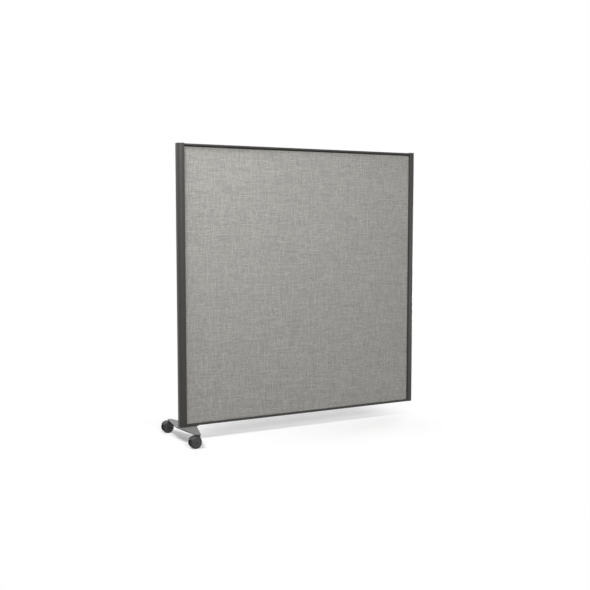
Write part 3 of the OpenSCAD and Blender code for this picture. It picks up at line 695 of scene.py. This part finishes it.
class PARTITION_OT_frame(Operator):
    """Makes the posts, rails and caps with smooth corners, and coats them and the key channels"""

    bl_idname = "partition.frame"
    bl_label = "Frame"

    def execute(self, context):
        coat, size = context.scene.partition_coat, context.scene.partition_section
        steel = powder_coat("frame_coat", coat.frame, coat.roughness, coat.peel)
        plastic = moulded_plastic("cap_plastic", coat.caps, roughness=0.5)
        for side, base in (("left", "left_base_pad"), ("right", "right_base_cap")):
            stand_for(self.post(side, size), side + "_post", "panel", steel)
            stand_for(self.top_cap(side, size), side + "_top_cap", "panel", plastic)
            stand_for(self.base(side, base, size), base, "panel", plastic)
        for rail in ("top_rail", "bottom_rail"):
            stand_for(self.rail(rail, size), rail, "panel", steel)
        # partly painted shade: the keys take the frame's dark coat, which also stands for the shade in the
        # gap under the top rail
        dress(steel, "left_key", "right_key", "top_key", "bottom_key")
        return {"FINISHED"}

    def post_outline(self, side, size, inset=0.0):
        """The outline of a post: its two corners beside the infill are the sharper ones."""
        radii = [size.inner, size.outer, size.outer, size.inner]
        if side == "right":
            radii = radii[2:] + radii[:2]
        low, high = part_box(side + "_post")
        return section(low.xy, high.xy, radii, inset)

    def post(self, side, size):
        """A post, from the base piece up to its cap."""
        low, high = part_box(side + "_post")
        outer, inner = (self.post_outline(side, size, inset) for inset in (0.0, size.post_wall))
        post = tube(side + "_post_tube", outer, inner, low.z, high.z, Z)
        if side == "right":
            self.bore_seats(post, size)
        return post

    def bore_seats(self, post, size):
        """Bores the right post's outer wall where its join inserts sit."""
        sides = 64
        low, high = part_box("join_inserts")
        flange = (high.y - low.y) / 2
        turn = np.linspace(0, 2 * math.pi, sides, endpoint=False)
        for z in (low.z + flange, high.z - flange):
            circle = np.stack([size.seat * np.cos(turn), z + size.seat * np.sin(turn)], -1)
            ends = [high.x - 2 * size.post_wall, high.x + size.post_wall]
            bored(post, swept("plug", [circle, circle], ends, X))

    def top_cap(self, side, size):
        """The cap's head on top of a post, of the post's outline, with a quarter round along its top edge."""
        steps = 4
        turn = np.linspace(0, math.pi / 2, steps + 1)
        foot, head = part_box(side + "_post")[1].z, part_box(side + "_top_cap")[1].z
        places = [foot, *(head - size.cap_edge * (1 - np.sin(turn)))]
        insets = [0.0, *size.cap_edge * (1 - np.cos(turn))]
        edges = [self.post_outline(side, size, inset) for inset in insets]
        return swept(side + "_post_cap", edges, places, Z)

    def base(self, side, node, size):
        """The piece that closes a post's lower end, of the post's outline."""
        outline = self.post_outline(side, size)
        ends = [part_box(node)[0].z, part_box(side + "_post")[0].z]
        return swept(side + "_post_base", [outline, outline], ends, Z)

    def rail(self, node, size):
        """A rail, from post to post."""
        low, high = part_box(node)
        radii = 4 * [size.rail_edge]
        outer, inner = (section(low.yz, high.yz, radii, inset) for inset in (0.0, size.rail_wall))
        return tube(node + "_tube", outer, inner, low.x, high.x, X)


class PARTITION_OT_joints(Operator):
    """Finishes the corner brackets, their screws, the threaded block and the join inserts"""

    bl_idname = "partition.joints"
    bl_label = "Corner joints and inserts"

    def execute(self, context):
        metal = context.scene.partition_metal
        bracket = drawn_steel("bracket_steel", metal.bracket, roughness=0.42, streak=(900.0, 900.0, 30.0))
        plated = drawn_steel("plated_steel", metal.screw, roughness=0.32, streak=(400.0, 400.0, 400.0))
        dress(bracket, "bracket_top_left", "bracket_top_right", "bracket_bottom_left", "bracket_bottom_right")
        dress(bracket, "foot_block")
        dress(plated, "bracket_screws", "join_inserts")
        return {"FINISHED"}


class PARTITION_OT_infill(Operator):
    """Finishes the honeycomb core, the battens and the facing boards"""

    bl_idname = "partition.infill"
    bl_label = "Infill"

    def execute(self, context):
        inside = context.scene.partition_infill
        upright = planed_wood("upright_batten", inside.wood, inside.growth, grain=(30.0, 30.0, 1.5))
        level = planed_wood("level_batten", inside.wood, inside.growth, grain=(1.5, 30.0, 30.0))
        dress(kraft_honeycomb("kraft_honeycomb", inside.cell, inside.rim), "honeycomb_core")
        dress(upright, "left_batten", "right_batten")
        dress(level, "top_batten", "bottom_batten")
        dress(pressed_board("facing_board", inside.binder, inside.fibre), "front_facing", "rear_facing")
        return {"FINISHED"}


class PARTITION_OT_covers(Operator):
    """Makes the front and rear woven covers, stretched over the infill and turned in at its edges"""

    bl_idname = "partition.covers"
    bl_label = "Woven covers"

    def execute(self, context):
        cover = context.scene.partition_cover
        low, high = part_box("front_fabric")
        span = max(high.x - low.x, high.z - low.z) + 4 * (high.y - low.y)
        cloth = woven_cloth("woven_cloth", cover, span, "cloth")
        for side, front in (("front", True), ("rear", False)):
            node = side + "_fabric"
            low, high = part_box(node)
            points, flat, cut = cover_points(low, high, cover, front)
            piece = surface(side + "_cover", points, flat / span, "cloth", flipped=not front)
            piece.data.materials.append(cloth)
            wall = piece.modifiers.new("wall", "SOLIDIFY")
            wall.thickness, wall.offset = cover.thickness, -1
            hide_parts(node)
            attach(piece, "panel")
        return {"FINISHED"}


class PARTITION_OT_foot(Operator):
    """Coats the foot plate and its saddle, and finishes the bolts and washers"""

    bl_idname = "partition.foot"
    bl_label = "Foot"

    def execute(self, context):
        coat, metal = context.scene.partition_coat, context.scene.partition_metal
        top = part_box("foot_plate")[1].z
        zinc = drawn_steel("bolt_zinc", metal.zinc, roughness=0.34, streak=(500.0, 500.0, 500.0))
        # the plate's dark edges and underside are partly painted shade
        plate = powder_coat("foot_coat", coat.foot, coat.foot_roughness, coat.peel, coat.foot_edge, top)
        dress(plate, "foot_plate")
        dress(powder_coat("saddle_coat", coat.saddle, coat.roughness, coat.peel), "foot_saddle")
        dress(zinc, "foot_bolts", "foot_washers")
        return {"FINISHED"}


class PARTITION_OT_casters(Operator):
    """Finishes the casters: stems, clips, hoods, axles, wheels, treads and hub caps"""

    bl_idname = "partition.casters"
    bl_label = "Casters"

    def execute(self, context):
        scene = context.scene
        caster, coat, metal = scene.partition_caster, scene.partition_coat, scene.partition_metal
        low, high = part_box("front_outer_tread")
        axle = (low + high) / 2
        centre, tread_r = (axle.x, 0.0, axle.z), (high.z - low.z) / 2
        plate_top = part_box("foot_plate")[1].z
        pin = coated_pin("stem_zinc", metal.stem, coat.foot, plate_top)
        zinc = drawn_steel("axle_zinc", metal.zinc, roughness=0.3, streak=(60.0, 500.0, 60.0))
        body = moulded_plastic("caster_plastic", caster.body, roughness=0.5)
        wheel = turned_wheel("wheel_plastic", caster.wheel, centre)
        tread = tread_rubber("tread_rubber", caster.tread, caster.dust_colour, caster.dust, centre, tread_r)
        for end in ("front", "rear"):
            dress(pin, end + "_caster_stem")
            dress(zinc, end + "_stem_clip", end + "_axle")
            dress(body, end + "_caster_body", end + "_outer_hub_cap", end + "_inner_hub_cap")
            dress(wheel, end + "_outer_wheel", end + "_inner_wheel")
            dress(tread, end + "_outer_tread", end + "_inner_tread")
        return {"FINISHED"}


def lamp(name, stand, target, width, watts):
    """A square soft lamp that looks at a target."""
    data = bpy.data.lights.new(name, "AREA")
    data.shape, data.size, data.energy = "SQUARE", width, watts
    made = linked(name, data)
    made.location = stand
    made.rotation_mode = "QUATERNION"
    made.rotation_quaternion = (target - stand).to_track_quat("-Z", "Y")


class PARTITION_OT_studio(Operator):
    """Sets the camera, the lamps, the even room light and the pale floor"""

    bl_idname = "partition.studio"
    bl_label = "Studio"

    def execute(self, context):
        studio, scene = context.scene.partition_studio, context.scene
        self.camera(studio, scene)
        self.lamps(studio)
        self.room(studio, scene)
        self.floor(studio)
        return {"FINISHED"}

    def camera(self, studio, scene):
        """The camera, level from side to side, and plain colours for its picture."""
        data = bpy.data.cameras.new("camera")
        data.lens, data.sensor_width = studio.camera_lens, 36.0
        camera = linked("camera", data)
        camera.location = studio.camera_place
        camera.rotation_euler = (math.pi / 2 - studio.camera_down, 0.0, -studio.camera_turn)
        scene.camera = camera
        scene.view_settings.view_transform = "Standard"

    def lamps(self, studio):
        """The lamps: each stands off from the object's middle or one of its ends, and looks back at it, apart
        from the side lamp, which has an aim of its own."""
        low, high = cad_box
        middle = (low + high) / 2
        left, right = Vector((low.x, 0.0, 0.0)), Vector((high.x, 0.0, middle.z))
        for name, start, target in (
            ("key", middle, middle),
            ("side", left, left + Vector(studio.side_aim)),
            ("rear", right, right),
            ("right", right, right),
            ("back", middle, middle),
        ):
            away, width, watts = (getattr(studio, f"{name}_{what}") for what in ("place", "width", "power"))
            lamp(name + "_lamp", start + Vector(away), target, width, watts)

    def room(self, studio, scene):
        """Even light from all round, and white where the camera sees past the object."""
        scene.world = bpy.data.worlds.new("room")
        room = Nodes(scene.world)
        even, white = (
            room.node("ShaderNodeBackground", None, {"Color": (1, 1, 1, 1), "Strength": strength})
            for strength in (studio.ambient, 1.0)
        )
        room.shown(even, white)

    def floor(self, studio):
        """A wide flat floor under the wheels."""
        reach = studio.floor_reach
        corners = np.array([(-reach, -reach), (reach, -reach), (reach, reach), (-reach, reach)])
        mesh = bpy.data.meshes.new("floor")
        mesh.from_pydata(np.column_stack([corners, np.full(4, cad_box[0].z)]), [], [(0, 1, 2, 3)])
        mesh.materials.append(pale_floor("pale_floor", studio))
        floor = linked("floor", mesh)


class PARTITION_PT_panel(Panel):
    """The partition's pieces and settings"""

    bl_label = "Rolling partition"
    bl_space_type = "VIEW_3D"
    bl_region_type = "UI"
    bl_category = "Partition"

    def draw(self, context):
        for operator in OPERATORS:
            self.layout.operator(operator.bl_idname)
        for attribute, group in SETTINGS.items():
            box = self.layout.box()
            box.label(text=group.__doc__)
            for name in group.__annotations__:
                box.prop(getattr(context.scene, attribute), name)


SETTINGS = {
    "partition_section": SectionSettings,
    "partition_coat": CoatSettings,
    "partition_cover": CoverSettings,
    "partition_infill": InfillSettings,
    "partition_metal": MetalSettings,
    "partition_caster": CasterSettings,
    "partition_studio": StudioSettings,
}
OPERATORS = (
    PARTITION_OT_frame,
    PARTITION_OT_joints,
    PARTITION_OT_infill,
    PARTITION_OT_covers,
    PARTITION_OT_foot,
    PARTITION_OT_casters,
    PARTITION_OT_studio,
)


def register():
    for made in (*SETTINGS.values(), *OPERATORS, PARTITION_PT_panel):
        bpy.utils.register_class(made)
    for attribute, group in SETTINGS.items():
        setattr(bpy.types.Scene, attribute, PointerProperty(type=group))


def unregister():
    for attribute in SETTINGS:
        delattr(bpy.types.Scene, attribute)
    for made in (PARTITION_PT_panel, *reversed(OPERATORS), *reversed(SETTINGS.values())):
        bpy.utils.unregister_class(made)


def main():
    """Registers everything and makes the pieces in order."""
    register()
    for operator in OPERATORS:
        group, name = operator.bl_idname.split(".")
        getattr(getattr(bpy.ops, group), name)()


if __name__ == "__main__":
    main()
